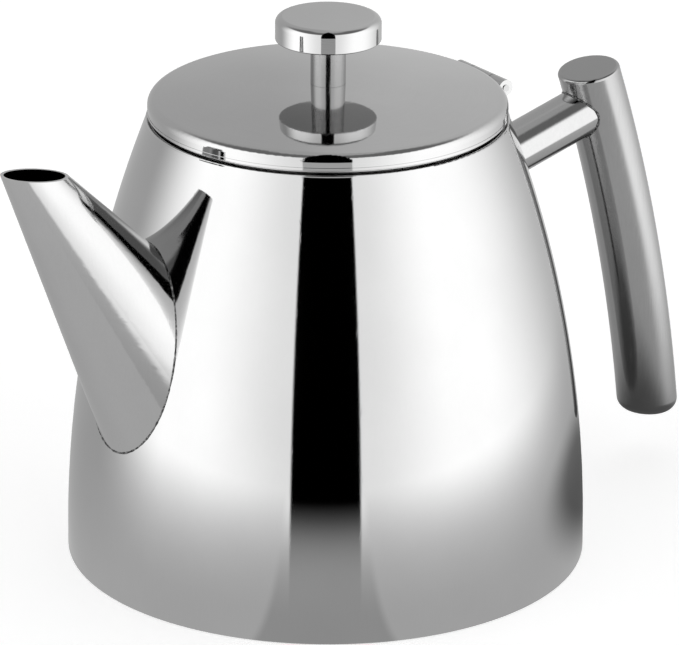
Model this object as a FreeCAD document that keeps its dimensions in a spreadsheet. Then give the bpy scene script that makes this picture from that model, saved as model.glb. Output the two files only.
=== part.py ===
import FreeCAD, Part
import math
import os
import re

import Sketcher
from FreeCAD import Placement, Rotation, Vector

# A double-walled steel teapot with a straight spout, a bar handle, a hinged lid and a
# hanging infuser basket. Millimetres. +Z is up and the origin is the centre of the foot,
# on the pot's axis. The spout points along -X and the handle along +X.

DIMENSIONS = [
    # outer wall: upright at the foot, then one long arc leaning in to the mouth
    ("foot_radius", 74.9, "outer radius at the foot"),
    ("wall_start", 2.0, "height where the wall starts to lean in"),
    ("wall_arc", 355.9, "radius of the wall's arc in profile"),
    ("shell_top", 129.0, "height of the outer wall's top edge"),
    ("shell_sheet", 0.8, "thickness of the outer sheet"),
    ("seam_gap", 0.05, "gap left between sheets that are welded face to face"),
    ("rim_thickness", 0.6, "height of the bead round the mouth"),
    ("rim_round", 0.28, "rounding of the bead's top edges"),
    # bottom
    ("base_sheet", 1.0, "thickness of the bottom"),
    ("base_flange", 5.0, "height of the bottom's upturned edge"),
    # inner wall
    ("liner_offset", 5.0, "from the outer wall's face in to the inner wall"),
    ("liner_sheet", 0.6, "thickness of the inner sheet"),
    ("liner_floor", 6.0, "height of the underside of the inner floor"),
    ("liner_corner", 6.0, "radius of the inner wall's bottom corner"),
    ("liner_shoulder", 113.0, "height where the inner wall turns in to the neck"),
    ("neck_radius", 45.3, "inside radius of the neck"),
    ("neck_bottom", 119.0, "height of the neck's lower end"),
    ("ledge_top", 126.0, "height of the ledge that the infuser hangs on"),
    ("mouth_radius", 49.7, "inside radius above the ledge"),
    ("strainer_hole", 1.7, "radius of the holes behind the spout"),
    ("strainer_pitch", 6.2, "distance between those holes"),
    ("strainer_height", 67.0, "height of the middle row of those holes"),
    # spout: an elliptical cone, cut off at the tip
    ("apex_reach", 117.4, "from the pot's axis out to the cone's apex"),
    ("apex_height", 158.6, "height of the cone's apex"),
    ("tip_reach", 96.75, "from the pot's axis out to the middle of the tip"),
    ("tip_height", 130.4, "height of the middle of the tip"),
    ("tip_half_length", 10.25, "half the tip's opening, along the spout's plane"),
    ("tip_half_width", 6.8, "half the tip's opening, across it"),
    ("tip_tilt", 7.9, "slope of the tip's plane, rising outwards, in degrees"),
    ("cone_scale", 5.0, "size of the cone's buried end, in tips"),
    ("spout_sheet", 0.9, "thickness of the spout's sheet"),
    # handle
    ("grip_arc_radius", 509.6, "radius of the grip's centre line"),
    ("grip_arc_reach", 388.2, "from the pot's axis to that arc's centre, along -X"),
    ("grip_arc_drop", 43.0, "depth of that arc's centre below the foot"),
    ("grip_low_angle", 6.45, "where the grip ends on its arc, in degrees"),
    ("grip_high_angle", 19.5, "where the grip starts on its arc, in degrees"),
    ("grip_radius", 9.1, "outside radius of the grip"),
    ("grip_sheet", 1.2, "thickness of the grip's tube"),
    ("top_cap_length", 2.6, "length of the upper cap on the grip's centre line"),
    ("top_cap_slant", 8.0, "slant of the upper cap's face from square, in degrees"),
    ("top_cap_round", 1.0, "rounding of the upper cap's edge"),
    ("low_cap_length", 6.5, "length of the lower cap on the grip's centre line"),
    ("low_cap_slant", 10.0, "slant of the lower cap's face from square, in degrees"),
    ("low_cap_round", 4.0, "rounding of the lower cap's edge"),
    ("stub_radius", 7.35, "outside radius of the stub"),
    ("stub_sheet", 1.5, "thickness of the stub's tube"),
    ("stub_angle", 16.5, "rise of the stub's axis, in degrees"),
    ("stub_reach", 52.3, "from the pot's axis to the stub's buried end"),
    ("stub_height", 103.0, "height of the stub's buried end"),
    ("stub_length", 46.0, "length of the stub before its ends are shaped"),
    ("pad_sheet", 1.2, "thickness of the backing pad"),
    ("pad_low", 95.0, "height of the backing pad's lower edge"),
    ("pad_high", 114.0, "height of the backing pad's upper edge"),
    ("pad_width", 26.0, "width of the backing pad"),
    # hinge
    ("hinge_reach", 54.0, "from the pot's axis to the hinge pin"),
    ("hinge_height", 131.0, "height of the hinge pin"),
    ("knuckle_radius", 2.4, "outside radius of the knuckles"),
    ("barrel_length", 22.6, "length over the three knuckles"),
    ("leaf_width", 9.4, "length of the lid's knuckle"),
    ("leaf_gap", 0.2, "gap at each end of the lid's knuckle"),
    ("pin_radius", 1.0, "radius of the hinge pin"),
    ("pin_clearance", 0.05, "radial clearance of the pin in the lid's knuckle"),
    ("pin_stand_out", 0.3, "how far the pin stands out at each end"),
    ("strap_sheet", 0.9, "thickness of the bracket's strap"),
    ("strap_low", 117.0, "height of the strap's lower edge"),
    ("strap_bend", 125.0, "height where the strap thickens into a lug"),
    ("strap_high", 129.5, "height of the lug's top"),
    ("notch_bottom", 127.6, "height of the bottom of the notch for the lid's knuckle"),
    ("tongue_sheet", 1.4, "thickness of the leaf's tongue"),
    ("tongue_bottom", 130.3, "height of the tongue's underside"),
    # lid
    ("lid_radius", 51.0, "outside radius of the lid"),
    ("lid_bottom", 130.1, "height of the lid's underside"),
    ("lid_flange", 0.6, "thickness of the lid liner's sheet"),
    ("skirt_bottom", 130.8, "height of the skirt's lower edge"),
    ("groove_bottom", 131.5, "height of the fine groove round the skirt"),
    ("groove_width", 0.2, "height of that groove"),
    ("groove_depth", 0.2, "depth of that groove"),
    ("lid_sheet", 0.8, "thickness of the lid's cover"),
    ("lid_edge", 135.3, "height where skirt and dome would meet"),
    ("lid_crown", 139.5, "height of the dome's crown"),
    ("dome_arc", 311.5, "radius of the dome"),
    ("lid_round", 2.5, "rounding between dome and skirt"),
    ("dish_radius", 43.5, "outside radius of the liner's dish"),
    ("dish_bottom", 126.95, "height of the dish's underside"),
    # knob
    ("stem_radius", 5.0, "radius of the knob's stem"),
    ("stem_top", 152.2, "height of the stem's upper end"),
    ("stem_bore_top", 147.5, "height of the top of the stem's tapped bore"),
    ("knob_radius", 15.0, "radius of the knob"),
    ("knob_top", 159.1, "height of the knob's flat top"),
    ("knob_round", 2.0, "rounding of the knob's upper edge"),
    ("knob_low_round", 0.4, "rounding of the knob's lower edge"),
    ("screw_radius", 1.95, "radius of the knob's screw"),
    ("screw_hole", 2.2, "radius of the screw's holes in the lid"),
    ("screw_head_radius", 3.8, "radius of the screw's head"),
    ("screw_head_height", 1.9, "height of the screw's head"),
    ("screw_slot_width", 1.0, "width of the slot in the head"),
    ("screw_slot_depth", 1.0, "depth of that slot"),
    ("washer_radius", 6.0, "radius of the washer"),
    ("washer_sheet", 0.8, "thickness of the washer"),
    # infuser
    ("collar_radius", 47.0, "outside radius of the collar's flange"),
    ("collar_bottom", 126.05, "height of the flange's underside"),
    ("collar_sheet", 0.8, "thickness of the collar's sheet"),
    ("sleeve_radius", 42.2, "outside radius of the collar's sleeve"),
    ("sleeve_bottom", 118.0, "height of the sleeve's lower edge"),
    ("basket_radius", 41.3, "outside radius of the basket's wall"),
    ("basket_sheet", 0.6, "thickness of the basket's wall"),
    ("basket_bottom", 28.4, "height of the basket wall's lower edge"),
    ("basket_top", 125.9, "height of the basket wall's upper edge"),
    ("wall_hole", 1.2, "radius of the holes in the basket's wall"),
    ("wall_hole_low", 38.0, "height of the lowest ring of holes"),
    ("wall_hole_pitch", 9.5, "distance between rings of holes"),
    ("floor_bottom", 27.7, "height of the underside of the basket's floor"),
    ("floor_radius", 40.5, "radius of the basket's floor"),
    ("floor_hole", 1.2, "radius of the holes in the floor"),
    ("floor_hole_ring", 7.0, "distance between rings of holes in the floor"),
    ("base_ring_radius", 42.0, "outside radius of the ring round the basket's foot"),
    ("base_ring_lip", 37.5, "inside radius of that ring's lip"),
    ("base_ring_bottom", 27.0, "height of that ring's underside"),
    ("base_ring_top", 33.0, "height of that ring's upper edge"),
]
NAMES = {name for name, value, meaning in DIMENSIONS}

WALL_HOLE_ROWS = 9
WALL_HOLE_COLUMNS = 24
FLOOR_HOLE_RINGS = 5
STRAINER_ROWS = 3
STRAINER_COLUMNS = 2

doc = FreeCAD.newDocument("teapot_infuser")
sheet = doc.addObject("Spreadsheet::Sheet", "Dimensions")


def fill_sheet():
    """Write the driving dimensions into the sheet, one row each."""
    for row, (name, value, meaning) in enumerate(DIMENSIONS, start=1):
        sheet.set(f"A{row}", meaning)
        sheet.set(f"B{row}", str(value))
        sheet.setAlias(f"B{row}", name)
    doc.recompute()


def bound(text):
    """The expression with each dimension's name turned into a reference to the sheet."""
    return re.sub(
        r"[a-z_]+",
        lambda word: f"Dimensions.{word.group()}" if word.group() in NAMES else word.group(),
        text,
    )


def value(text):
    """The expression's value now."""
    return float(sheet.evalExpression(bound(text)))


def bind(item, **expressions):
    """Bind properties, written with __ for a dot, to expressions."""
    for name, text in expressions.items():
        item.setExpression(name.replace("__", "."), bound(text))


def place(item, x="0", y="0", z="0", axis=None, angle="0"):
    """Bind an object's placement: a position, and a turn about an axis in degrees."""
    if axis:
        item.Placement = Placement(Vector(), Rotation(axis, 1))
        bind(item, Placement__Rotation__Angle=angle)
    bind(item, Placement__Base__x=x, Placement__Base__y=y, Placement__Base__z=z)


def wall(offset, height):
    """Radius of the pot's wall at a height, offset inwards from its outer face."""
    rise = f"(({height}) - wall_start)"
    return f"foot_radius - wall_arc + sqrt((wall_arc - ({offset}))^2 - {rise}^2)"


# ---- sketches -------------------------------------------------------------------------


def new_body(name):
    return doc.addObject("PartDesign::Body", name)


def new_sketch(body, name, plane):
    """An empty sketch on one of the body's own origin planes."""
    sketch = body.newObject("Sketcher::SketchObject", name)
    role = f"{plane}_Plane"
    support = next(item for item in body.Origin.OriginFeatures if item.Role == role)
    sketch.AttachmentSupport = [(support, "")]
    sketch.MapMode = "FlatFace"
    return sketch


def fix_coordinate(sketch, kind, line, geometry, position, text):
    """Hold a point at a distance from a sketch axis, or on the axis where it is 0."""
    if text == "0":
        sketch.addConstraint(Sketcher.Constraint("PointOnObject", geometry, position, line))
        return
    rule = Sketcher.Constraint(kind, -1, 1, geometry, position, value(text))
    index = sketch.addConstraint(rule)
    sketch.setExpression(f"Constraints[{index}]", bound(text))


def fix_point(sketch, geometry, position, x, y):
    fix_coordinate(sketch, "DistanceX", -2, geometry, position, x)
    fix_coordinate(sketch, "DistanceY", -1, geometry, position, y)


def fix_radius(sketch, geometry, text):
    index = sketch.addConstraint(Sketcher.Constraint("Radius", geometry, value(text)))
    sketch.setExpression(f"Constraints[{index}]", bound(text))


def arc_between(start, end, radius, turns_left):
    """The short arc from start to end, curving to the left or right of the way it runs."""
    chord = end - start
    left = Vector(-chord.y, chord.x, 0).normalize()
    depth = math.sqrt(radius**2 - (chord.Length / 2) ** 2)
    centre = (start + end) / 2 + left * (depth if turns_left else -depth)
    first, last = (start, end) if turns_left else (end, start)
    angles = [math.atan2(p.y - centre.y, p.x - centre.x) for p in (first, last)]
    return Part.ArcOfCircle(Part.Circle(centre, Vector(0, 0, 1), radius), *angles)


def add_outline(sketch, corners):
    """A closed outline. A corner is (x, y), or (x, y, side, radius) where the edge that
    leaves it is an arc that curves to that side."""
    points = [Vector(value(corner[0]), value(corner[1]), 0) for corner in corners]
    ends = []
    for index, corner in enumerate(corners):
        start = points[index]
        end = points[(index + 1) % len(points)]
        if len(corner) == 2:
            edge = sketch.addGeometry(Part.LineSegment(start, end), False)
            ends.append((edge, 1, 2))
            continue
        turns_left = corner[2] == "left"
        arc = arc_between(start, end, value(corner[3]), turns_left)
        edge = sketch.addGeometry(arc, False)
        ends.append((edge, 1, 2) if turns_left else (edge, 2, 1))
    for index, (edge, first, last) in enumerate(ends):
        after, after_first, after_last = ends[(index + 1) % len(ends)]
        sketch.addConstraint(Sketcher.Constraint("Coincident", edge, last, after, after_first))
    for (edge, first, last), corner in zip(ends, corners):
        fix_point(sketch, edge, first, corner[0], corner[1])
        if len(corner) == 4:
            fix_radius(sketch, edge, corner[3])


def add_circle(sketch, x, y, radius):
    centre = Vector(value(x), value(y), 0)
    circle = sketch.addGeometry(Part.Circle(centre, Vector(0, 0, 1), value(radius)), False)
    fix_point(sketch, circle, 3, x, y)
    fix_radius(sketch, circle, radius)


# ---- features -------------------------------------------------------------------------


def revolve(body, sketch, angle=None, backwards=False):
    """Turn a sketch about its vertical axis, all the way round or by an angle."""
    feature = body.newObject("PartDesign::Revolution", f"{body.Name}_turned")
    feature.Profile = sketch
    feature.ReferenceAxis = (sketch, ["V_Axis"])
    feature.Angle = 360
    feature.Reversed = backwards
    if angle:
        bind(feature, Angle=angle)
    return feature


def pad(body, sketch, length, backwards=False):
    feature = body.newObject("PartDesign::Pad", f"{body.Name}_pad")
    feature.Profile = sketch
    feature.Reversed = backwards
    bind(feature, Length=length)
    return feature


def pocket(body, sketch, name, length, backwards=False):
    """Cut a sketch into the body, and check that it took something away."""
    doc.recompute()
    before = body.Shape.Volume
    feature = body.newObject("PartDesign::Pocket", name)
    feature.Profile = sketch
    feature.Reversed = backwards
    bind(feature, Length=length)
    doc.recompute()
    if body.Shape.Volume >= before:
        raise RuntimeError(f"{name} cuts nothing")
    return feature


def repeat_round(body, feature, name, count):
    """Repeat a feature evenly round the body's own Z axis."""
    pattern = body.newObject("PartDesign::PolarPattern", name)
    pattern.Originals = [feature]
    axis = next(item for item in body.Origin.OriginFeatures if item.Role == "Z_Axis")
    pattern.Axis = (axis, [""])
    pattern.Angle = 360
    pattern.Occurrences = count
    body.Tip = pattern
    return pattern


def fillet(body, wanted, rounding):
    """Fillet every edge of the body that wanted() picks."""
    doc.recompute()
    base = body.Tip
    edges = enumerate(base.Shape.Edges, start=1)
    found = [f"Edge{number}" for number, edge in edges if wanted(edge.Curve)]
    if not found:
        raise RuntimeError(f"{body.Name} has no such edge")
    feature = body.newObject("PartDesign::Fillet", f"{body.Name}_round")
    feature.Base = (base, found)
    bind(feature, Radius=rounding)


def round_edge(body, radius_at, height_at, rounding):
    """Fillet the circular edge of that radius and height."""
    radius = value(radius_at)
    height = value(height_at)

    def wanted(curve):
        if not isinstance(curve, Part.Circle):
            return False
        return abs(curve.Radius - radius) < 0.05 and abs(curve.Center.z - height) < 0.05

    fillet(body, wanted, rounding)


def turned(name, corners):
    """A body turned about the pot's axis from an outline of (radius, height) corners."""
    body = new_body(name)
    sketch = new_sketch(body, f"{name}_outline", "XZ")
    add_outline(sketch, corners)
    revolve(body, sketch)
    return body


def wall_band(name, outer, inner, low, high):
    """A ring that follows the pot's wall between two offsets and two heights."""
    return turned(
        name,
        [
            (wall(outer, low), low, "left", f"wall_arc - ({outer})"),
            (wall(outer, high), high),
            (wall(inner, high), high, "right", f"wall_arc - ({inner})"),
            (wall(inner, low), low),
        ],
    )


def box(name, x, y, z, length, width, height):
    item = doc.addObject("Part::Box", name)
    bind(item, Length=length, Width=width, Height=height)
    place(item, x, y, z)
    return item


def cylinder(name, radius, height, **where):
    item = doc.addObject("Part::Cylinder", name)
    bind(item, Radius=radius, Height=height)
    place(item, **where)
    return item


def combine(kind, name, base, tool):
    """A Part boolean: kind is Cut, Fuse or Common."""
    item = doc.addObject(f"Part::{kind}", name)
    item.Base = base
    item.Tool = tool
    return item


# ---- pot ------------------------------------------------------------------------------


def make_cone(name, shrink_long, shrink_wide):
    """The spout's cone, from the tip down to an end buried in the pot."""
    tip = doc.addObject("Part::Ellipse", f"{name}_tip")
    bind(
        tip,
        MajorRadius=f"tip_half_length - ({shrink_long})",
        MinorRadius=f"tip_half_width - ({shrink_wide})",
    )
    place(tip, x="-tip_reach", z="tip_height", axis=Vector(0, 1, 0), angle="tip_tilt")
    buried = doc.addObject("Part::Ellipse", f"{name}_buried")
    bind(
        buried,
        MajorRadius=f"tip_half_length * cone_scale - ({shrink_long})",
        MinorRadius=f"tip_half_width * cone_scale - ({shrink_wide})",
    )
    place(
        buried,
        x="-apex_reach + cone_scale * (apex_reach - tip_reach)",
        z="apex_height - cone_scale * (apex_height - tip_height)",
        axis=Vector(0, 1, 0),
        angle="tip_tilt",
    )
    cone = doc.addObject("Part::Loft", name)
    cone.Sections = [buried, tip]
    cone.Solid = True
    cone.Ruled = True
    return cone


def make_pot_envelope():
    """The solid inside the pot's outer face, which trims what is welded to it."""
    return turned(
        "pot_envelope",
        [
            ("0", "0"),
            ("foot_radius", "0"),
            ("foot_radius", "wall_start", "left", "wall_arc"),
            (wall("0", "shell_top"), "shell_top"),
            ("0", "shell_top"),
        ],
    )


def make_outer_shell(bore):
    blank = turned(
        "shell_blank",
        [
            ("foot_radius", "0"),
            ("foot_radius", "wall_start", "left", "wall_arc"),
            (wall("0", "shell_top"), "shell_top"),
            (wall("shell_sheet", "shell_top"), "shell_top", "right", "wall_arc - shell_sheet"),
            ("foot_radius - shell_sheet", "wall_start"),
            ("foot_radius - shell_sheet", "0"),
        ],
    )
    return combine("Cut", "outer_shell", blank, bore)


def make_rim_ring():
    body = turned(
        "rim_ring",
        [
            ("mouth_radius", "shell_top"),
            (wall("0", "shell_top"), "shell_top"),
            (wall("0", "shell_top"), "shell_top + rim_thickness"),
            ("mouth_radius", "shell_top + rim_thickness"),
        ],
    )
    top = "shell_top + rim_thickness"
    round_edge(body, wall("0", "shell_top"), top, "rim_round")
    round_edge(body, "mouth_radius", top, "rim_round")
    return body


def make_base_plate():
    edge = "foot_radius - shell_sheet - seam_gap"
    return turned(
        "base_plate",
        [
            ("0", "0"),
            (edge, "0"),
            (edge, "base_flange"),
            (f"{edge} - base_sheet", "base_flange"),
            (f"{edge} - base_sheet", "base_sheet"),
            ("0", "base_sheet"),
        ],
    )


def liner_corner_foot():
    """Radius where the inner floor's flat ends and its corner starts."""
    return f"{wall('liner_offset', 'liner_floor + liner_corner')} - liner_corner"


def make_liner_floor():
    """The flat disc welded in as the inner floor."""
    return turned(
        "inner_floor",
        [
            ("0", "liner_floor"),
            (liner_corner_foot(), "liner_floor"),
            (liner_corner_foot(), "liner_floor + liner_sheet"),
            ("0", "liner_floor + liner_sheet"),
        ],
    )


def make_liner_wall():
    """The inner wall with its bottom corner, and strainer holes behind the spout."""
    inner = "liner_offset + liner_sheet"
    corner_top = "liner_floor + liner_corner"
    body = turned(
        "inner_wall",
        [
            (liner_corner_foot(), "liner_floor", "left", "liner_corner"),
            (wall("liner_offset", corner_top), corner_top, "left", "wall_arc - liner_offset"),
            (wall("liner_offset", "liner_shoulder"), "liner_shoulder"),
            (wall(inner, "liner_shoulder"), "liner_shoulder", "right", f"wall_arc - ({inner})"),
            (wall(inner, corner_top), corner_top, "right", "liner_corner - liner_sheet"),
            (liner_corner_foot(), "liner_floor + liner_sheet"),
        ],
    )
    holes = new_sketch(body, "strainer_holes", "YZ")
    for row in range(-STRAINER_ROWS, STRAINER_ROWS + 1):
        for column in range(-STRAINER_COLUMNS, STRAINER_COLUMNS + 1):
            reach = math.hypot(row / (STRAINER_ROWS + 0.3), column / (STRAINER_COLUMNS + 0.3))
            if reach <= 1:
                across = "0" if column == 0 else f"{column} * strainer_pitch"
                add_circle(holes, across, f"strainer_height + {row} * strainer_pitch", "strainer_hole")
    pocket(body, holes, "strainer", "foot_radius")
    return body


def make_liner_neck():
    """The shoulder, the neck and the ledge that the basket's collar rests on."""
    return turned(
        "inner_neck",
        [
            (wall("liner_offset", "liner_shoulder"), "liner_shoulder"),
            ("neck_radius + liner_sheet", "neck_bottom"),
            ("neck_radius + liner_sheet", "ledge_top - liner_sheet"),
            ("mouth_radius + liner_sheet", "ledge_top - liner_sheet"),
            ("mouth_radius + liner_sheet", "shell_top"),
            ("mouth_radius", "shell_top"),
            ("mouth_radius", "ledge_top"),
            ("neck_radius", "ledge_top"),
            ("neck_radius", "neck_bottom"),
            (wall("liner_offset + liner_sheet", "liner_shoulder"), "liner_shoulder"),
        ],
    )


def make_spout_pieces(cone, bore, envelope):
    """The spout outside the wall, and the duct between the two walls."""
    tube = combine("Cut", "cone_tube", cone, bore)
    spout = combine("Cut", "spout", tube, envelope)
    between = wall_band(
        "duct_band",
        "shell_sheet + seam_gap",
        "liner_offset - seam_gap",
        "liner_floor + liner_corner",
        "liner_shoulder - liner_corner",
    )
    duct = combine("Common", "spout_duct", tube, between)
    return [spout, duct]


# ---- handle ---------------------------------------------------------------------------


def place_on_grip_arc(item, angle):
    """Put an object on the grip's arc, its Z along the arc and upwards."""
    place(
        item,
        x=f"-grip_arc_reach + grip_arc_radius * cos({angle})",
        z=f"-grip_arc_drop + grip_arc_radius * sin({angle})",
        axis=Vector(0, 1, 0),
        angle=f"-({angle})",
    )


def arc_degrees(length):
    return f"{length} / grip_arc_radius * 180 / pi"


GRIP_LOW = f"grip_low_angle + {arc_degrees('low_cap_length')}"
GRIP_HIGH = f"grip_high_angle - {arc_degrees('top_cap_length')}"


def make_arc_rod(name, radii):
    """A rod or tube along the grip's arc, between the two caps."""
    body = new_body(name)
    sketch = new_sketch(body, f"{name}_section", "XY")
    for radius in radii:
        add_circle(sketch, "grip_arc_radius", "0", radius)
    revolve(body, sketch, f"{GRIP_HIGH} - ({GRIP_LOW})", backwards=True)
    place(
        body,
        x="-grip_arc_reach",
        z="-grip_arc_drop",
        axis=Vector(0, 1, 0),
        angle=f"-({GRIP_LOW})",
    )
    return body


def make_cap(name, angle, side, length, slant, rounding):
    """A cap on the grip's end, its face cut on a slant and its edge rounded. Side is 1 for
    a cap that stands up from the grip and -1 for one that hangs below it."""
    body = new_body(name)
    disc = new_sketch(body, f"{name}_disc", "XY")
    add_circle(disc, "0", "0", "grip_radius")
    pad(body, disc, f"{length} + grip_radius", backwards=side < 0)
    reach = "2 * grip_radius"
    far = f"{side} * 3 * grip_radius"
    wedge = new_sketch(body, f"{name}_slant", "XZ")
    add_outline(
        wedge,
        [
            (f"-{reach}", far),
            (f"-{reach}", f"{side} * {length} + {reach} * tan({slant})"),
            (reach, f"{side} * {length} - {reach} * tan({slant})"),
            (reach, far),
        ],
    )
    cut = pocket(body, wedge, f"{name}_face", "4 * grip_radius")
    cut.Midplane = True
    fillet(body, lambda curve: isinstance(curve, Part.Ellipse), rounding)
    place_on_grip_arc(body, angle)
    return body


def make_stub(envelope, rod):
    """A tube between wall and grip, its ends shaped to both."""
    blank = new_body("stub_blank")
    sketch = new_sketch(blank, "stub_section", "XY")
    add_circle(sketch, "0", "0", "stub_radius")
    add_circle(sketch, "0", "0", "stub_radius - stub_sheet")
    pad(blank, sketch, "stub_length")
    place(
        blank,
        x="stub_reach",
        z="stub_height",
        axis=Vector(0, 1, 0),
        angle="90 - stub_angle",
    )
    trimmed = combine("Cut", "stub_trimmed", blank, envelope)
    return combine("Cut", "handle_stub", trimmed, rod)


def make_backing_plate():
    """A pad inside the outer wall that spreads the stub's load."""
    band = wall_band(
        "pad_band",
        "shell_sheet + seam_gap",
        "shell_sheet + seam_gap + pad_sheet",
        "pad_low",
        "pad_high",
    )
    window = box("pad_window", "0", "-pad_width / 2", "0", "foot_radius", "pad_width", "shell_top")
    return combine("Common", "handle_backing_plate", band, window)


def make_handle(envelope):
    rod = make_arc_rod("grip_envelope", ["grip_radius"])
    return [
        make_arc_rod("handle_grip", ["grip_radius", "grip_radius - grip_sheet"]),
        make_cap("grip_top_cap", GRIP_HIGH, 1, "top_cap_length", "top_cap_slant", "top_cap_round"),
        make_cap("grip_bottom_cap", GRIP_LOW, -1, "low_cap_length", "low_cap_slant", "low_cap_round"),
        make_stub(envelope, rod),
        make_backing_plate(),
    ]


# ---- hinge ----------------------------------------------------------------------------


def along_hinge(name, radius, length):
    """A cylinder on the hinge's axis, centred on the pot's middle plane."""
    return cylinder(
        name,
        radius,
        length,
        x="hinge_reach",
        y=f"-({length}) / 2",
        z="hinge_height",
        axis=Vector(-1, 0, 0),
        angle="90",
    )


def make_hinge_bracket():
    """Two knuckles on a strap that hugs the outer wall and thickens under them."""
    outer = "-(seam_gap + strap_sheet)"
    rim = wall("-seam_gap", "shell_top")
    band = turned(
        "strap_band",
        [
            (wall(outer, "strap_low"), "strap_low", "left", f"wall_arc - ({outer})"),
            (wall(outer, "strap_bend"), "strap_bend"),
            ("hinge_reach", "strap_high - strap_sheet"),
            ("hinge_reach", "strap_high"),
            (rim, "strap_high"),
            (rim, "shell_top", "right", "wall_arc + seam_gap"),
            (wall("-seam_gap", "strap_low"), "strap_low"),
        ],
    )
    window = box(
        "strap_window", "0", "-barrel_length / 2", "0", "foot_radius", "barrel_length", "hinge_height"
    )
    strap = combine("Common", "strap", band, window)
    barrel = along_hinge("barrel", "knuckle_radius", "barrel_length")
    joined = combine("Fuse", "strap_and_barrel", strap, barrel)
    notch = box(
        "knuckle_notch",
        "0",
        "-(leaf_width / 2 + leaf_gap)",
        "notch_bottom",
        "foot_radius",
        "leaf_width + 2 * leaf_gap",
        "hinge_height",
    )
    notched = combine("Cut", "notched_bracket", joined, notch)
    bore = along_hinge("bracket_bore", "pin_radius", "barrel_length + 1")
    return combine("Cut", "hinge_bracket", notched, bore)


def make_lid_hinge_leaf():
    """The lid's knuckle, with a tongue that is welded to the back of the skirt."""
    knuckle = along_hinge("leaf_knuckle", "knuckle_radius", "leaf_width")
    tongue = box(
        "leaf_tongue",
        "lid_radius - 1",
        "-leaf_width / 2",
        "tongue_bottom",
        "hinge_reach - lid_radius + 1",
        "leaf_width",
        "tongue_sheet",
    )
    joined = combine("Fuse", "knuckle_and_tongue", knuckle, tongue)
    skirt = cylinder("leaf_skirt", "lid_radius + seam_gap", "lid_crown")
    trimmed = combine("Cut", "trimmed_leaf", joined, skirt)
    bore = along_hinge("leaf_bore", "pin_radius + pin_clearance", "barrel_length")
    return combine("Cut", "lid_hinge_leaf", trimmed, bore)


def make_hinge_pin():
    return along_hinge("hinge_pin", "pin_radius", "barrel_length + 2 * pin_stand_out")


# ---- lid ------------------------------------------------------------------------------


def make_lid_cover():
    """Dome and skirt in one sheet, with a fine groove above its lower edge."""
    inner = "lid_radius - lid_sheet"
    groove_top = "groove_bottom + groove_width"
    body = turned(
        "lid_cover",
        [
            ("screw_hole", "lid_crown - lid_sheet", "right", "dome_arc - lid_sheet"),
            (inner, "lid_edge - lid_sheet"),
            (inner, "skirt_bottom"),
            ("lid_radius", "skirt_bottom"),
            ("lid_radius", "groove_bottom"),
            ("lid_radius - groove_depth", "groove_bottom"),
            ("lid_radius - groove_depth", groove_top),
            ("lid_radius", groove_top),
            ("lid_radius", "lid_edge", "left", "dome_arc"),
            ("screw_hole", "lid_crown"),
        ],
    )
    round_edge(body, "lid_radius", "lid_edge", "lid_round")
    return body


def make_lid_liner():
    """The lid's underside: a flange that closes the skirt, and a shallow dish."""
    flange_radius = "lid_radius - lid_sheet - seam_gap"
    return turned(
        "lid_liner",
        [
            ("screw_hole", "dish_bottom"),
            ("dish_radius", "dish_bottom"),
            ("dish_radius", "lid_bottom"),
            (flange_radius, "lid_bottom"),
            (flange_radius, "lid_bottom + lid_flange"),
            ("dish_radius - lid_flange", "lid_bottom + lid_flange"),
            ("dish_radius - lid_flange", "dish_bottom + lid_flange"),
            ("screw_hole", "dish_bottom + lid_flange"),
        ],
    )


def make_knob():
    body = turned(
        "knob",
        [("0", "stem_top"), ("knob_radius", "stem_top"), ("knob_radius", "knob_top"), ("0", "knob_top")],
    )
    round_edge(body, "knob_radius", "knob_top", "knob_round")
    round_edge(body, "knob_radius", "stem_top", "knob_low_round")
    return body


def make_knob_stem():
    return turned(
        "knob_stem",
        [
            ("screw_radius", "lid_crown"),
            ("stem_radius", "lid_crown"),
            ("stem_radius", "stem_top"),
            ("0", "stem_top"),
            ("0", "stem_bore_top"),
            ("screw_radius", "stem_bore_top"),
        ],
    )


def make_knob_screw():
    """A slotted screw that runs up through the lid into the stem."""
    head_top = "dish_bottom - washer_sheet"
    head_bottom = f"{head_top} - screw_head_height"
    body = turned(
        "knob_screw",
        [
            ("0", head_bottom),
            ("screw_head_radius", head_bottom),
            ("screw_head_radius", head_top),
            ("screw_radius", head_top),
            ("screw_radius", "stem_bore_top - 1"),
            ("0", "stem_bore_top - 1"),
        ],
    )
    slot = new_sketch(body, "screw_slot", "XZ")
    half = "screw_slot_width / 2"
    add_outline(
        slot,
        [
            (f"-{half}", f"{head_bottom} - 1"),
            (half, f"{head_bottom} - 1"),
            (half, f"{head_bottom} + screw_slot_depth"),
            (f"-{half}", f"{head_bottom} + screw_slot_depth"),
        ],
    )
    cut = pocket(body, slot, "slot", "4 * screw_head_radius")
    cut.Midplane = True
    return body


def make_knob_washer():
    return turned(
        "knob_washer",
        [
            ("screw_hole", "dish_bottom - washer_sheet"),
            ("washer_radius", "dish_bottom - washer_sheet"),
            ("washer_radius", "dish_bottom"),
            ("screw_hole", "dish_bottom"),
        ],
    )


def make_lid():
    return [
        make_lid_cover(),
        make_lid_liner(),
        make_lid_hinge_leaf(),
        make_knob(),
        make_knob_stem(),
        make_knob_screw(),
        make_knob_washer(),
    ]


# ---- infuser --------------------------------------------------------------------------


def make_infuser_collar():
    """The flange that rests on the ledge, turned down into a sleeve."""
    top = "collar_bottom + collar_sheet"
    return turned(
        "infuser_collar",
        [
            ("sleeve_radius - collar_sheet", "sleeve_bottom"),
            ("sleeve_radius", "sleeve_bottom"),
            ("sleeve_radius", "collar_bottom"),
            ("collar_radius", "collar_bottom"),
            ("collar_radius", top),
            ("sleeve_radius - collar_sheet", top),
        ],
    )


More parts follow.
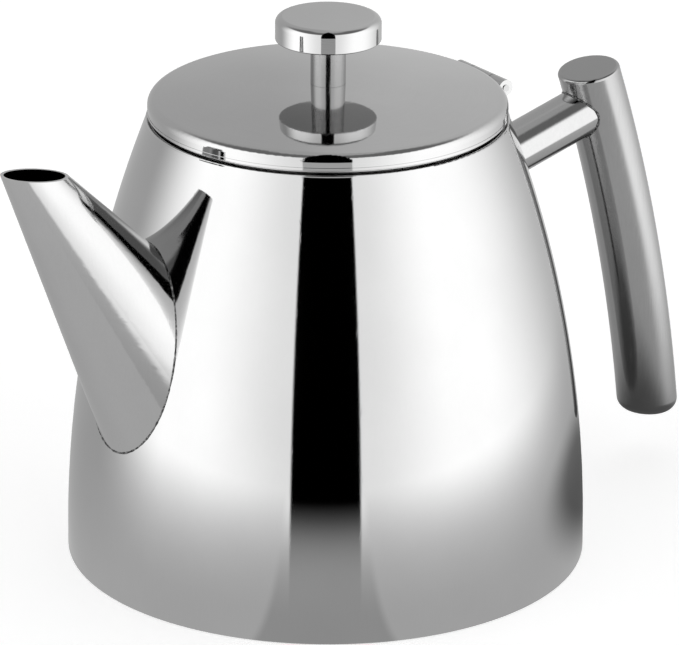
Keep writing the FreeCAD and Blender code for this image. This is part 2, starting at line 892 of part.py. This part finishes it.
def make_infuser_wall():
    body = turned(
        "infuser_wall",
        [
            ("basket_radius - basket_sheet", "basket_bottom"),
            ("basket_radius", "basket_bottom"),
            ("basket_radius", "basket_top"),
            ("basket_radius - basket_sheet", "basket_top"),
        ],
    )
    column = new_sketch(body, "wall_holes", "YZ")
    for row in range(WALL_HOLE_ROWS):
        add_circle(column, "0", f"wall_hole_low + {row} * wall_hole_pitch", "wall_hole")
    cut = pocket(body, column, "hole_column", "foot_radius")
    repeat_round(body, cut, "hole_columns", WALL_HOLE_COLUMNS)
    return body


def make_infuser_floor():
    body = turned(
        "infuser_floor",
        [
            ("0", "floor_bottom"),
            ("floor_radius", "floor_bottom"),
            ("floor_radius", "floor_bottom + basket_sheet"),
            ("0", "floor_bottom + basket_sheet"),
        ],
    )
    for ring in range(1, FLOOR_HOLE_RINGS + 1):
        hole = new_sketch(body, f"floor_hole_{ring}", "XY")
        add_circle(hole, f"{ring} * floor_hole_ring", "0", "floor_hole")
        cut = pocket(body, hole, f"floor_cut_{ring}", "foot_radius", backwards=True)
        repeat_round(body, cut, f"floor_holes_{ring}", 6 * ring)
    return body


def make_infuser_base_ring():
    """An angle ring that holds the wall in its sleeve and the floor on its lip."""
    inner = "basket_radius + seam_gap"
    lip_top = "floor_bottom - seam_gap"
    return turned(
        "infuser_base_ring",
        [
            ("base_ring_lip", "base_ring_bottom"),
            ("base_ring_radius", "base_ring_bottom"),
            ("base_ring_radius", "base_ring_top"),
            (inner, "base_ring_top"),
            (inner, lip_top),
            ("base_ring_lip", lip_top),
        ],
    )


def make_infuser():
    return [
        make_infuser_collar(),
        make_infuser_wall(),
        make_infuser_floor(),
        make_infuser_base_ring(),
    ]


# ---- assembly -------------------------------------------------------------------------


def make_pot():
    cone = make_cone("spout_cone", "0", "0")
    bore = make_cone("spout_bore", "spout_sheet * 1.1", "spout_sheet")
    envelope = make_pot_envelope()
    walls = [
        make_outer_shell(bore),
        make_rim_ring(),
        make_base_plate(),
        make_liner_floor(),
        make_liner_wall(),
        make_liner_neck(),
    ]
    spout = make_spout_pieces(cone, bore, envelope)
    hinge = [make_hinge_bracket(), make_hinge_pin()]
    return walls + spout + make_handle(envelope) + hinge


def check(pieces):
    """Stop if any object failed, or if a piece isn't one valid solid."""
    for item in doc.Objects:
        if "Invalid" in item.State or "Error" in item.State:
            raise RuntimeError(f"{item.Label} failed: {item.State}")
    for piece in pieces:
        shape = piece.Shape
        if shape.isNull() or not shape.isValid() or len(shape.Solids) != 1:
            raise RuntimeError(f"{piece.Label} is not one valid solid")


def export(pieces):
    os.makedirs("parts", exist_ok=True)
    for piece in pieces:
        piece.Shape.exportStep(f"parts/{piece.Label}.step")
        size, volume = piece.Shape.BoundBox, piece.Shape.Volume
        sides = f"{size.XLength:.1f} x {size.YLength:.1f} x {size.ZLength:.1f}"
        print(f"{piece.Label}: {sides}, {volume:.0f} mm3")


fill_sheet()
all_pieces = make_pot() + make_lid() + make_infuser()
doc.recompute()
check(all_pieces)
export(all_pieces)
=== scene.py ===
import math

import bmesh
import bpy
from mathutils import Matrix, Vector, noise
from mathutils.bvhtree import BVHTree


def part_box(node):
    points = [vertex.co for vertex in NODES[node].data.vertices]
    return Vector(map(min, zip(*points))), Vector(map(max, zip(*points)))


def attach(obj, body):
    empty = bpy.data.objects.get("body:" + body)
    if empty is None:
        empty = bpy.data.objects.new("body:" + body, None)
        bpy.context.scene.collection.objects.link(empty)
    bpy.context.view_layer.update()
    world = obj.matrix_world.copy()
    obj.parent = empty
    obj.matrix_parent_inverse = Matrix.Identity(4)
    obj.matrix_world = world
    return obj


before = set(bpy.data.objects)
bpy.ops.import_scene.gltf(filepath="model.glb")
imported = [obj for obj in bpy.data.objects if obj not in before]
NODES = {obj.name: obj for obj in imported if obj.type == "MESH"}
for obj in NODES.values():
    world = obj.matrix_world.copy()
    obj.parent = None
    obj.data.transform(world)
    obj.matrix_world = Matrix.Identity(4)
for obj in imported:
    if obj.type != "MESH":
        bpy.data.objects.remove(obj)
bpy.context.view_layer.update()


# ---- camera ---------------------------------------------------------------------------

AZIMUTH = math.radians(-34.5)      # 0 looks along +Y
ELEVATION = math.radians(20.93)
DISTANCE = 1.4376                  # m, from a point on the pot's axis
AIM_HEIGHT = 0.070                 # m, that point's height
LENS, FILM_WIDTH = 265.9, 36       # mm
CLIP_START, CLIP_END = 0.05, 60    # m
# small turns about the camera's own place: sideways, up or down, and round its line of sight
TURN, NOD, ROLL = math.radians(-0.157), math.radians(-0.112), math.radians(-0.388)


def around(axis, angle):
    return Matrix.Rotation(angle, 3, axis)


def make_camera():
    """A long lens, looking down on the pot from the front and a little from its spout's side."""
    side = Vector((math.cos(AZIMUTH), math.sin(AZIMUTH), 0))
    away = Vector((-math.sin(AZIMUTH), math.cos(AZIMUTH), 0))
    ahead = away * math.cos(ELEVATION) - Vector((0, 0, math.sin(ELEVATION)))
    place = Vector((0, 0, AIM_HEIGHT)) - ahead * DISTANCE
    turned = around(Vector((0, 0, 1)), TURN) @ around(side, NOD)
    ahead, side = turned @ ahead, turned @ side
    side = around(ahead, ROLL) @ side
    up = side.cross(ahead)
    camera = bpy.data.objects.new("camera", bpy.data.cameras.new("camera"))
    axes = Matrix((side, up, -ahead)).transposed().to_4x4()
    camera.matrix_world = Matrix.Translation(place) @ axes
    camera.data.lens = LENS
    camera.data.sensor_width = FILM_WIDTH
    camera.data.clip_start, camera.data.clip_end = CLIP_START, CLIP_END
    bpy.context.scene.collection.objects.link(camera)
    bpy.context.scene.camera = camera


# ---- studio ---------------------------------------------------------------------------

# a white tent round the pot, with an opening for the camera; angles in degrees, from the camera
# round Z or above the horizon
GAP, GAP_EDGE = 15.3, 1.4          # half the opening's width, and how soft its edges are
GAP_HIGH, GAP_LOW = -11.8, -21.5   # where the opening fades into the tent's floor
BOX_NEAR, BOX_PEAK = 1.25, 1.74    # a lit side's brightness at the opening, and at its middle
BOX_MIDDLE, BOX_FADE = 62.0, 76.0  # where that middle is, and where the side starts to fade
LEFT_END, RIGHT_END = 124.0, 158.0     # where it has faded into the wall behind
LEFT_WALL, RIGHT_WALL = 0.53, 0.65     # brightness of the walls behind the pot
SEAM = 0.06                        # half the width of the change from left to right, on a unit circle
FRONT_TOP, OVERHEAD = 0.20, 0.52   # the tent's slope above the camera, and its top
SLOPE_LOW, SLOPE_HIGH = 31.0, 45.0     # where the lit sides give way to that slope
SLOPE_FADE, SLOPE_END = 95.0, 150.0    # where the slope brightens to the wall behind
TOP_LOW, TOP_HIGH = 68.0, 77.0     # where the slope gives way to the top
TENT_FLOOR = 0.66                  # the tent's floor, seen steeply
FLOOR_HIGH, FLOOR_LOW = -20.0, -24.5   # where the lit sides and the walls fade into it

# the table, a glowing sheet which only mirror reflections see, with painted shade close to the pot;
# distances in metres from the pot's axis
NEAR_LIT, NEAR_DIM = 0.60, 0.46    # its light close to the pot, painted darker there as shade, towards the lit sides and behind
LIT_END, DIM_START = 50.0, 130.0   # degrees from the camera's side, where those two hold
NEAR_IN_GAP = 0.44                 # and towards the opening
TABLE_START, TABLE_END = 0.080, 0.37   # where it starts to thin out, and where it is gone
TABLE_END_IN_GAP = 0.31            # where it is gone towards the opening
PAINTED_SHADOW_LIGHT = 0.24                # what is left of its light in the painted shadow below the handle
SHADE_X, SHADE_Y = 0.86, -0.12     # the middle of that painted shadow, as shares of the grip's reach
SHADE_CORE, SHADE_EDGE = 0.028, 0.078  # m from that middle, where the painted shadow is full and where it ends

# the floor, which mirror reflections don't see, and the backdrop, which only the camera sees
STAGE_RADIUS = 12.0                # m
FLOOR_DROP = 0.0003                # m below the pot's foot
FLOOR_LEVEL, FLOOR_GLOW = 0.80, 0.57
DISC_SIDES, DOME_SIDES = 96, 64
DOME_RINGS = (0, 0.3, 0.6, 0.9, 1.2, 1.5)  # radians above the floor


# ---- node helpers ---------------------------------------------------------------------


class Graph:
    """A material's or world's nodes, added by short calls."""

    def __init__(self, tree):
        self.nodes, self.links = tree.nodes, tree.links
        self.nodes.clear()

    def add(self, kind, **settings):
        node = self.nodes.new(kind)
        for name, value in settings.items():
            setattr(node, name, value)
        return node

    def put(self, value, socket):
        """Join an output to a socket, or set the socket to a constant."""
        if isinstance(value, bpy.types.NodeSocket):
            self.links.new(value, socket)
        else:
            plain_colour = socket.type == "RGBA" and not hasattr(value, "__len__")
            socket.default_value = (value, value, value, 1) if plain_colour else value

    def put_all(self, values, sockets):
        for value, socket in zip(values, sockets):
            self.put(value, socket)

    def math(self, operation, a, b=0.0, c=0.0):
        node = self.add("ShaderNodeMath", operation=operation)
        self.put_all((a, b, c), node.inputs)
        return node.outputs[0]

    def vector(self, operation, *items):
        """A vector, or a number where the operation gives one."""
        node = self.add("ShaderNodeVectorMath", operation=operation)
        self.put_all(items, node.inputs)
        return node.outputs["Value" if operation in ("DISTANCE", "DOT_PRODUCT") else "Vector"]

    def split(self, vector):
        node = self.add("ShaderNodeSeparateXYZ")
        self.put(vector, node.inputs[0])
        return node.outputs

    def join(self, x, y, z):
        node = self.add("ShaderNodeCombineXYZ")
        self.put_all((x, y, z), node.inputs)
        return node.outputs[0]

    def reach(self, x, y):
        """The distance from the Z axis."""
        return self.math("SQRT", self.math("ADD", self.math("MULTIPLY", x, x), self.math("MULTIPLY", y, y)))

    def spread(self, value, a, b, low=0.0, high=1.0):
        """Smoothly from low at a to high at b."""
        node = self.add("ShaderNodeMapRange", interpolation_type="SMOOTHSTEP")
        self.put_all((value, a, b, low, high), node.inputs)
        return node.outputs[0]

    def blend(self, share, a, b, kind="FLOAT"):
        """a where share is 0, b where it is 1."""
        node = self.add("ShaderNodeMix", data_type=kind)
        # the node holds a pair of inputs and an output for each kind of value
        first, result = {"FLOAT": (2, 0), "VECTOR": (4, 1)}[kind]
        self.put_all((share, a, b), (node.inputs[0], node.inputs[first], node.inputs[first + 1]))
        return node.outputs[result]

    def cloudy(self, scale, detail, place=None):
        """Noise, read at a place or at the object's own generated coordinates."""
        node = self.add("ShaderNodeTexNoise")
        if place is not None:
            self.put(place, node.inputs["Vector"])
        self.put(scale, node.inputs["Scale"])
        self.put(detail, node.inputs["Detail"])
        return node.outputs["Fac"]

    def bump(self, strength, depth, height_map, normal=None):
        node = self.add("ShaderNodeBump")
        self.put(strength, node.inputs["Strength"])
        self.put(depth, node.inputs["Distance"])
        self.put(height_map, node.inputs["Height"])
        if normal is not None:
            self.put(normal, node.inputs["Normal"])
        return node.outputs[0]

    def end(self, kind, shader):
        """Join a shader to a new output node."""
        self.put(shader.outputs[0], self.add(kind).inputs[0])


# ---- light ----------------------------------------------------------------------------


def from_camera(g, vector):
    """For a direction or a place: the degrees round Z from the camera's side, 0 on the camera's left
    to 1 on its right, the distance from the Z axis, and Z."""
    turned = g.add("ShaderNodeVectorRotate", rotation_type="Z_AXIS")
    g.put(vector, turned.inputs["Vector"])
    g.put(-AZIMUTH, turned.inputs["Angle"])
    x, y, z = g.split(turned.outputs[0])
    turn = g.math("ARCTAN2", x, g.math("MULTIPLY", y, -1.0))
    degrees = g.math("MULTIPLY", g.math("ABSOLUTE", turn), 180 / math.pi)
    return degrees, g.spread(x, -SEAM, SEAM), g.reach(x, y), z


def height(degrees):
    """The Z of a unit vector that rises at this angle."""
    return math.sin(math.radians(degrees))


def tent(g, degrees, right, z):
    """Brightness of the tent in each direction."""
    box = g.spread(degrees, GAP, BOX_MIDDLE, BOX_NEAR, BOX_PEAK)
    wall = g.blend(right, LEFT_WALL, RIGHT_WALL)
    side = g.blend(g.spread(degrees, BOX_FADE, g.blend(right, LEFT_END, RIGHT_END)), box, wall)
    slope = g.blend(g.spread(degrees, SLOPE_FADE, SLOPE_END), FRONT_TOP, wall)
    level = g.blend(g.spread(z, height(SLOPE_LOW), height(SLOPE_HIGH)), side, slope)
    level = g.blend(g.spread(z, height(TOP_LOW), height(TOP_HIGH)), level, OVERHEAD)
    beside = g.spread(degrees, GAP - GAP_EDGE / 2, GAP + GAP_EDGE / 2)
    start = g.blend(beside, height(GAP_HIGH), height(FLOOR_HIGH))
    end = g.blend(beside, height(GAP_LOW), height(FLOOR_LOW))
    return g.blend(g.spread(z, start, end), g.math("MULTIPLY", level, beside), TENT_FLOOR)


def make_world():
    world = bpy.data.worlds.new("studio")
    world.use_nodes = True
    g = Graph(world.node_tree)
    degrees, right, _, z = from_camera(g, g.add("ShaderNodeTexCoord").outputs["Generated"])
    background = g.add("ShaderNodeBackground")
    g.put(tent(g, degrees, right, z), background.inputs["Color"])
    g.end("ShaderNodeOutputWorld", background)
    bpy.context.scene.world = world


def make_table_material():
    """What the steel mirrors of the table: a glow with painted shade close to the pot and a painted shadow
    below the handle, thinning out into the tent's own light.
    """
    material = bpy.data.materials.new("table_reflection")
    material.use_nodes = True
    g = Graph(material.node_tree)
    place = g.add("ShaderNodeTexCoord").outputs["Object"]
    degrees, _, reach, _ = from_camera(g, place)
    in_gap = g.spread(degrees, GAP + GAP_EDGE, GAP - GAP_EDGE)
    # towards the opening the table thins out nearer to the pot
    thinning = g.spread(reach, TABLE_START, TABLE_END)
    gone = g.blend(in_gap, thinning, g.spread(reach, TABLE_START, TABLE_END_IN_GAP))
    # the table's painted light close to the pot: dimmer than the tent as painted shade, and brighter towards
    # the lit sides
    near = g.blend(in_gap, g.spread(degrees, LIT_END, DIM_START, NEAR_LIT, NEAR_DIM), NEAR_IN_GAP)
    # a painted shadow of the handle, darkening the table's glow below the grip
    reach_of_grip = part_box("handle_grip")[1][0]
    from_painted_shadow = g.vector("DISTANCE", place, (reach_of_grip * SHADE_X, reach_of_grip * SHADE_Y, 0))
    near = g.math("MULTIPLY", near, g.spread(from_painted_shadow, SHADE_CORE, SHADE_EDGE, PAINTED_SHADOW_LIGHT, 1.0))
    light = g.add("ShaderNodeEmission")
    g.put(near, light.inputs["Color"])
    mix = g.add("ShaderNodeMixShader")
    g.put_all((gone, light.outputs[0], g.add("ShaderNodeBsdfTransparent").outputs[0]), mix.inputs)
    g.end("ShaderNodeOutputMaterial", mix)
    return material


def plain(name, level, glow):
    """A matt grey that also glows."""
    material = bpy.data.materials.new(name)
    material.use_nodes = True
    shader = material.node_tree.nodes["Principled BSDF"]
    shader.inputs["Base Color"].default_value = (level, level, level, 1)
    shader.inputs["Roughness"].default_value = 0.9
    shader.inputs["Specular IOR Level"].default_value = 0.0
    shader.inputs["Emission Color"].default_value = (1, 1, 1, 1)
    shader.inputs["Emission Strength"].default_value = glow
    return material


def mesh_object(name, vertices, faces, material):
    mesh = bpy.data.meshes.new(name)
    mesh.from_pydata(vertices, [], faces)
    mesh.update()
    obj = bpy.data.objects.new(name, mesh)
    bpy.context.scene.collection.objects.link(obj)
    mesh.materials.append(material)
    return obj


def ring_of(radius, z, count):
    """Points round the Z axis."""
    turns = [2 * math.pi * k / count for k in range(count)]
    return [(radius * math.cos(turn), radius * math.sin(turn), z) for turn in turns]


def disc(name, drop, material):
    return mesh_object(name, ring_of(STAGE_RADIUS, -drop, DISC_SIDES), [tuple(range(DISC_SIDES))], material)


def make_stage():
    """The floor that is seen, the table that only mirrors show, and a white dome behind them."""
    floor = disc("floor", FLOOR_DROP, plain("floor", FLOOR_LEVEL, FLOOR_GLOW))
    floor.visible_glossy = False
    table = disc("table", FLOOR_DROP / 2, make_table_material())
    table.visible_camera = table.visible_diffuse = table.visible_shadow = False
    dome = []
    for rise in DOME_RINGS:
        z = STAGE_RADIUS * math.sin(rise) - FLOOR_DROP
        dome += ring_of(STAGE_RADIUS * math.cos(rise), z, DOME_SIDES)
    faces = []
    for lower in range(0, len(dome) - DOME_SIDES, DOME_SIDES):
        upper = lower + DOME_SIDES
        for k in range(DOME_SIDES):
            beside = (k + 1) % DOME_SIDES
            faces.append((lower + k, lower + beside, upper + beside, upper + k))
    backdrop = mesh_object("backdrop", dome, faces, plain("backdrop", 0.0, 1.0))
    for ray in ("diffuse", "glossy", "transmission", "shadow"):
        setattr(backdrop, f"visible_{ray}", False)


# ---- finishes -------------------------------------------------------------------------

MIRROR = 0.585                     # reflectance of the polished sheet
# noise scales, per metre: hazy patches, fine marks, the coarser grain that scratches come from, waviness
PATCHES, MARKS, COARSE, WAVES = 38.0, 2600.0, 900.0, 22.0
MOTTLE = 0.035                     # how much of the reflectance the patches take at most
MARK_TONE = 0.25                   # how much the marks take at grain 1
BASE_HAZE, PATCH_HAZE = 0.55, 0.5  # shares of the roughness: everywhere, and in the patches
WAVE_DEPTH, MARK_DEPTH = 0.0004, 0.00002   # m
STRETCH = 0.06                     # the marks' scale along Z, against 1 across it
ROUND_STRETCH = 0.002              # m of noise that half a turned part spans, from its middle to a side
NOISE_LOW, NOISE_HIGH = 0.3, 0.7   # most of a cloudy noise lies between these
SCRATCH_LOW, SCRATCH_HIGH = 0.60, 0.72     # the coarser grain where a scratch starts, and is full
ON_LINE = 1e-6                     # m, for the points at the greatest reach or height
SAME_WAY = 0.9                     # above this cosine between the two normals, the true one is used
BEAD_SCALE, HEAT_SCALE = 1400.0, 160.0     # weld metal's noise scales, per metre
BEAD_BUMP, BEAD_DEPTH = 0.6, 0.00015       # a strength, and m


def grain_place(g, place, lay, tilt):
    """Where the polishing marks are read: long round Z for a turned part, long along Z otherwise.

    The tilt turns the pattern after it is stretched, so it moves the marks and leaves them upright."""
    if lay == "round":
        x, y, z = g.split(place)
        reach = g.reach(x, y)
        side = g.math("DIVIDE", x, g.math("ADD", reach, 0.0001))
        return g.join(reach, z, g.math("MULTIPLY", side, ROUND_STRETCH))
    mapping = g.add("ShaderNodeMapping", vector_type="POINT")
    g.put(place, mapping.inputs["Vector"])
    g.put((0, tilt, 0), mapping.inputs["Rotation"])
    g.put((1, 1, STRETCH), mapping.inputs["Scale"])
    return mapping.outputs[0]


def wall_normal(g, place):
    """The outer wall's true normal: a cylinder below and an arc above, turned round Z.

    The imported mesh's own normals are uneven beside the spout's hole, which a mirror finish shows."""
    points = [(math.hypot(v.co.x, v.co.y), v.co.z) for v in NODES["outer_shell"].data.vertices]
    foot = max(reach for reach, _ in points)
    arc_start = max(z for reach, z in points if reach > foot - ON_LINE)
    top = max(z for _, z in points)
    inset = foot - max(reach for reach, z in points if z > top - ON_LINE)
    radius = ((top - arc_start) ** 2 + inset**2) / (2 * inset)
    x, y, z = g.split(place)
    reach = g.reach(x, y)
    outward = g.math("DIVIDE", g.math("SUBTRACT", reach, foot - radius), reach)
    upward = g.math("MAXIMUM", g.math("SUBTRACT", z, arc_start), 0.0)
    in_world = g.add("ShaderNodeVectorTransform", vector_type="NORMAL")
    in_world.convert_from, in_world.convert_to = "OBJECT", "WORLD"
    g.put(g.join(g.math("MULTIPLY", x, outward), g.math("MULTIPLY", y, outward), upward), in_world.inputs[0])
    smooth = g.vector("NORMALIZE", in_world.outputs[0])
    # the sheet's edges and inner face keep the mesh's normals
    own = g.add("ShaderNodeNewGeometry").outputs["Normal"]
    agrees = g.math("GREATER_THAN", g.vector("DOT_PRODUCT", smooth, own), SAME_WAY)
    return g.blend(agrees, own, smooth, "VECTOR")


def metal(name):
    """A new metallic material, its graph, and its shader's inputs."""
    material = bpy.data.materials.new(name)
    material.use_nodes = True
    g = Graph(material.node_tree)
    shader = g.add("ShaderNodeBsdfPrincipled")
    g.put(1.0, shader.inputs["Metallic"])
    g.end("ShaderNodeOutputMaterial", shader)
    return material, g, shader.inputs


def steel(name, level, roughness, wave, grain, scratch, lay="along", tilt=0.0, normal=None):
    """Stainless steel: the sheet's faint waviness, hazy patches, polishing marks and a few scratches."""
    material, g, inputs = metal(name)
    place = g.add("ShaderNodeTexCoord").outputs["Object"]
    along = grain_place(g, place, lay, tilt)
    patches = g.cloudy(PATCHES, 3.0, place)
    marks = g.cloudy(MARKS, 3.0, along)
    # only the tops of a coarser grain count as scratches
    scratches = g.spread(g.cloudy(COARSE, 4.0, along), SCRATCH_LOW, SCRATCH_HIGH)
    light = g.spread(patches, NOISE_LOW, NOISE_HIGH)
    tone = g.math("MULTIPLY_ADD", light, level * MOTTLE, level * (1 - MOTTLE))
    tone = g.math("MULTIPLY", tone, g.spread(marks, 0.2, 0.8, 1.0 - MARK_TONE * grain, 1.0))
    g.put(tone, inputs["Base Color"])
    haze = g.math("MULTIPLY_ADD", patches, roughness * PATCH_HAZE, roughness * BASE_HAZE)
    haze = g.math("MULTIPLY_ADD", marks, roughness * scratch, haze)
    g.put(g.math("MULTIPLY_ADD", scratches, roughness * scratch, haze), inputs["Roughness"])
    under = normal(g, place) if normal else None
    wavy = g.bump(wave, WAVE_DEPTH, g.cloudy(WAVES, 1.0, place), under)
    g.put(g.bump(grain, MARK_DEPTH, g.math("ADD", marks, scratches), wavy), inputs["Normal"])
    return material


def weld_metal():
    """Weld metal left as it cooled: beaded, dull, and darker between the beads."""
    material, g, inputs = metal("weld_metal")
    beads = g.add("ShaderNodeTexVoronoi", feature="SMOOTH_F1")
    g.put(g.add("ShaderNodeTexCoord").outputs["Object"], beads.inputs["Vector"])
    g.put(BEAD_SCALE, beads.inputs["Scale"])
    from_bead = beads.outputs["Distance"]
    heat = g.cloudy(HEAT_SCALE, 4.0)
    g.put(g.spread(g.math("ADD", from_bead, heat), 0.45, 1.25, 0.34, 0.03), inputs["Base Color"])
    g.put(g.spread(heat, NOISE_LOW, NOISE_HIGH, 0.22, 0.5), inputs["Roughness"])
    g.put(g.bump(BEAD_BUMP, BEAD_DEPTH, from_bead), inputs["Normal"])
    return material


def finish_nodes():
    by_slot = {
        "mirror_steel": steel("polished_steel", MIRROR, 0.035, wave=0.03, grain=0.04, scratch=0.3),
        "bright_steel": steel("bright_steel", 0.56, 0.11, wave=0.05, grain=0.15, scratch=0.5, lay="round"),
        "satin_steel": steel("satin_steel", 0.54, 0.27, wave=0.06, grain=0.35, scratch=0.8, lay="round"),
        "fastener_steel": steel("fastener_steel", 0.52, 0.18, wave=0.05, grain=0.25, scratch=0.6),
    }
    low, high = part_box("handle_grip")
    lean = math.atan2(high[0] - low[0], high[2] - low[2]) / 2
    # the handle is polished less than the pot, and shows the belt's marks
    grip = steel("grip_steel", 0.44, 0.10, wave=0.05, grain=0.22, scratch=0.9, tilt=lean)
    turned = steel("turned_steel", MIRROR, 0.045, wave=0.02, grain=0.08, scratch=0.5, lay="round")
    wall = steel("wall_steel", MIRROR, 0.035, wave=0.03, grain=0.04, scratch=0.3, normal=wall_normal)
    stub = steel("stub_steel", 0.54, 0.085, wave=0.05, grain=0.2, scratch=0.9, tilt=math.pi / 2)
    low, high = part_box("spout")
    lean = -math.atan2(high[0] - low[0], high[2] - low[2])
    by_node = {
        "outer_shell": wall,
        "spout": steel("spout_steel", MIRROR, 0.075, wave=0.04, grain=0.10, scratch=0.5, tilt=lean),
        "handle_grip": grip,
        "grip_top_cap": grip,
        "grip_bottom_cap": grip,
        "handle_stub": stub,
        # the stem's reflectance is lowered below the other steel as painted shade under the knob
        "knob_stem": steel("shaded_stem_steel", 0.40, 0.12, wave=0.03, grain=0.2, scratch=0.9),
        "knob": turned,
        "lid_cover": turned,
    }
    for name, node in NODES.items():
        for slot in node.material_slots:
            slot.material = by_node.get(name, by_slot[slot.material.name])


# ---- welds ----------------------------------------------------------------------------

TOUCHING, SAME_POINT = 6e-5, 2e-6  # m
SHARP = 0.35                       # radians between an edge's two faces
WELD_STEP = 0.0004                 # m between a bead's rings of points
WELD_SIDES = 8
FINE_LUMPS, LONG_LUMPS = 900, 140  # noise scales of a bead's width, per metre


def sharp_loop(name, near):
    """The longest sharp line of a node that lies on another node's surface, as points in order."""
    other = BVHTree.FromObject(NODES[near], bpy.context.evaluated_depsgraph_get())
    copy = bmesh.new()
    copy.from_mesh(NODES[name].data)
    bmesh.ops.remove_doubles(copy, verts=copy.verts, dist=SAME_POINT)
    touching = {}
    for vertex in copy.verts:
        touching[vertex] = other.find_nearest(vertex.co)[3] < TOUCHING
    ways = {}
    for edge in copy.edges:
        a, b = edge.verts
        if touching[a] and touching[b] and len(edge.link_faces) == 2 and edge.calc_face_angle() > SHARP:
            ways.setdefault(a, []).append(b)
            ways.setdefault(b, []).append(a)
    loops = []
    while ways:
        here = min(ways, key=lambda v: (v.co.x, v.co.y, v.co.z))
        loop = []
        while here is not None:
            loop.append(here.co.copy())
            onward = [v for v in ways.pop(here) if v in ways]
            here = onward[0] if onward else None
        loops.append(loop)
    copy.free()
    return max(loops, key=lambda loop: sum((b - a).length for a, b in zip(loop, loop[1:])))


def evenly(points, step):
    """A closed line's points again, at even steps, with its small corners smoothed."""
    ring = points + [points[0]]
    so_far = [0.0]
    for a, b in zip(ring, ring[1:]):
        so_far.append(so_far[-1] + (b - a).length)
    count = round(so_far[-1] / step)
    result, at = [], 0
    for k in range(count):
        wanted = so_far[-1] * k / count
        while so_far[at + 1] < wanted:
            at += 1
        share = (wanted - so_far[at]) / max(so_far[at + 1] - so_far[at], 1e-9)
        result.append(ring[at].lerp(ring[at + 1], share))
    return [(result[k - 1] + result[k] * 2 + result[(k + 1) % count]) / 4 for k in range(count)]


def make_weld(name, node, near, radius, material):
    """A closed weld bead of uneven width along the edge where one node meets another."""
    line = evenly(sharp_loop(node, near), WELD_STEP)
    rings, sides = len(line), WELD_SIDES
    vertices, faces = [], []
    for k, point in enumerate(line):
        ahead = (line[(k + 1) % rings] - line[k - 1]).normalized()
        across = ahead.orthogonal() if k == 0 else across - ahead * across.dot(ahead)
        across = across.normalized()
        over = ahead.cross(across)
        lumps = 1 + 0.45 * noise.noise(point * FINE_LUMPS) + 0.3 * noise.noise(point * LONG_LUMPS)
        for s in range(sides):
            turn = 2 * math.pi * s / sides
            vertices.append(point + (across * math.cos(turn) + over * math.sin(turn)) * (radius * lumps))
    # the last ring may be turned against the first, so each of its points joins the first's nearest one
    twist = min(range(sides), key=lambda s: (vertices[(rings - 1) * sides] - vertices[s]).length)
    for k in range(rings):
        offset = twist if k == rings - 1 else 0
        onward = (k + 1) % rings * sides
        for s in range(sides):
            here, beside = k * sides + s, k * sides + (s + 1) % sides
            faces.append((here, beside, onward + (s + 1 + offset) % sides, onward + (s + offset) % sides))
    bead = mesh_object(name, vertices, faces, material)
    for polygon in bead.data.polygons:
        polygon.use_smooth = True
    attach(bead, "root")


def make_welds():
    """The beads' radii are in metres."""
    material = weld_metal()
    make_weld("spout_weld", "spout", "outer_shell", 0.00026, material)
    make_weld("stub_weld", "handle_stub", "outer_shell", 0.00028, material)
    make_weld("grip_weld", "handle_stub", "handle_grip", 0.00034, material)


make_camera()
make_world()
make_stage()
finish_nodes()
make_welds()
bpy.context.scene.view_settings.view_transform = "Standard"
